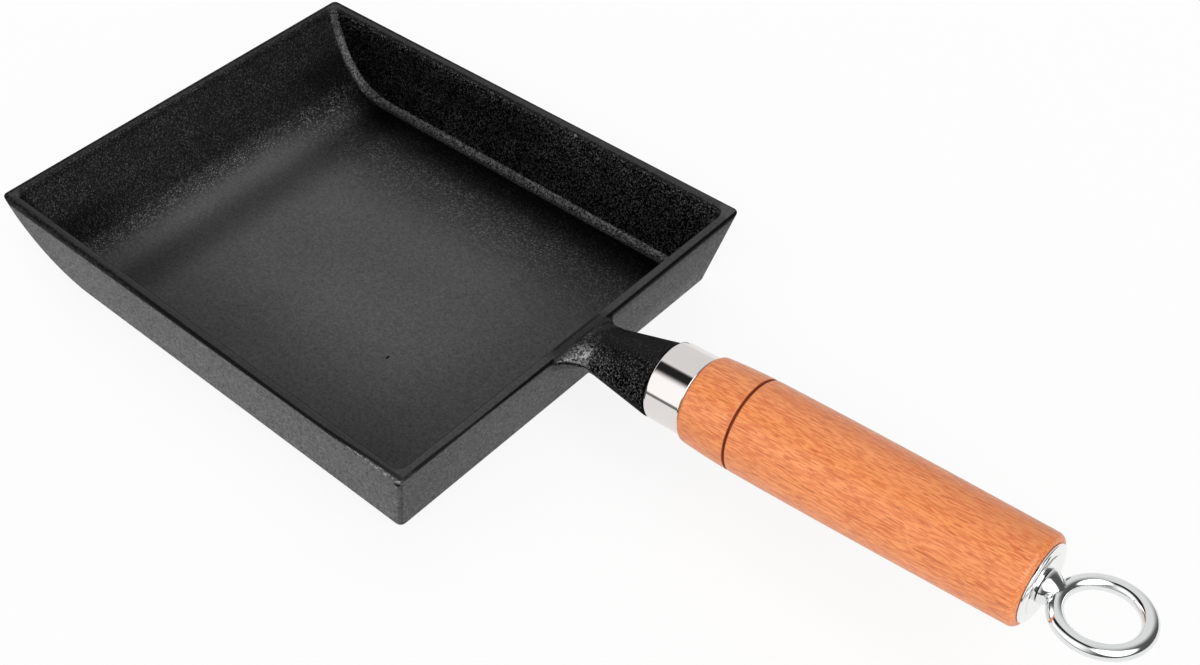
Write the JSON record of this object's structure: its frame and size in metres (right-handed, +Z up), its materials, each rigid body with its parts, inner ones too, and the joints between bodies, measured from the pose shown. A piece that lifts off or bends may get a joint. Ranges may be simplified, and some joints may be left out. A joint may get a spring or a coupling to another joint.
{
  "type": "rectangular omelette pan",
  "caption": "Rectangular cast-iron omelette pan with leaning walls, a far end that sweeps up from the floor, and a turned wooden handle with ferrule, end cap and hanging eye.",
  "frame": {"origin": "on the underside of the flat base, below the middle of the rim", "axes": "+X along the pan towards the handle, +Y across the pan, +Z up out of the pan"},
  "size_m": [0.3524, 0.15, 0.0531],
  "materials": {
    "cast_iron": "dark seasoned casting with a fine grain",
    "ferrule_chrome": "polished",
    "beech": "satin lacquer",
    "cap_chrome": "polished",
    "eye_chrome": "polished"
  },
  "bodies": {
    "pan": {"pan_body": "cast_iron", "ferrule": "ferrule_chrome", "grip": "beech"},
    "cap": {"end_cap": "cap_chrome"},
    "eye": {"eye_bolt": "eye_chrome"}
  },
  "joints": [
    {"name": "cap_travel", "type": "slide", "parent": "pan", "child": "cap", "axis": [0.998, 0, 0.0628], "range_m": [0, 0.012]},
    {"name": "eye_turn", "type": "hinge", "parent": "cap", "child": "eye", "pos_m": [0.24839, 0, 0.04147], "axis": [0.998, 0, 0.0628], "range_deg": [0, 4320]}
  ],
  "couplings": [
    {"joint": "eye_turn", "follows": "cap_travel", "rad_per_m": 6283.2}
  ]
}
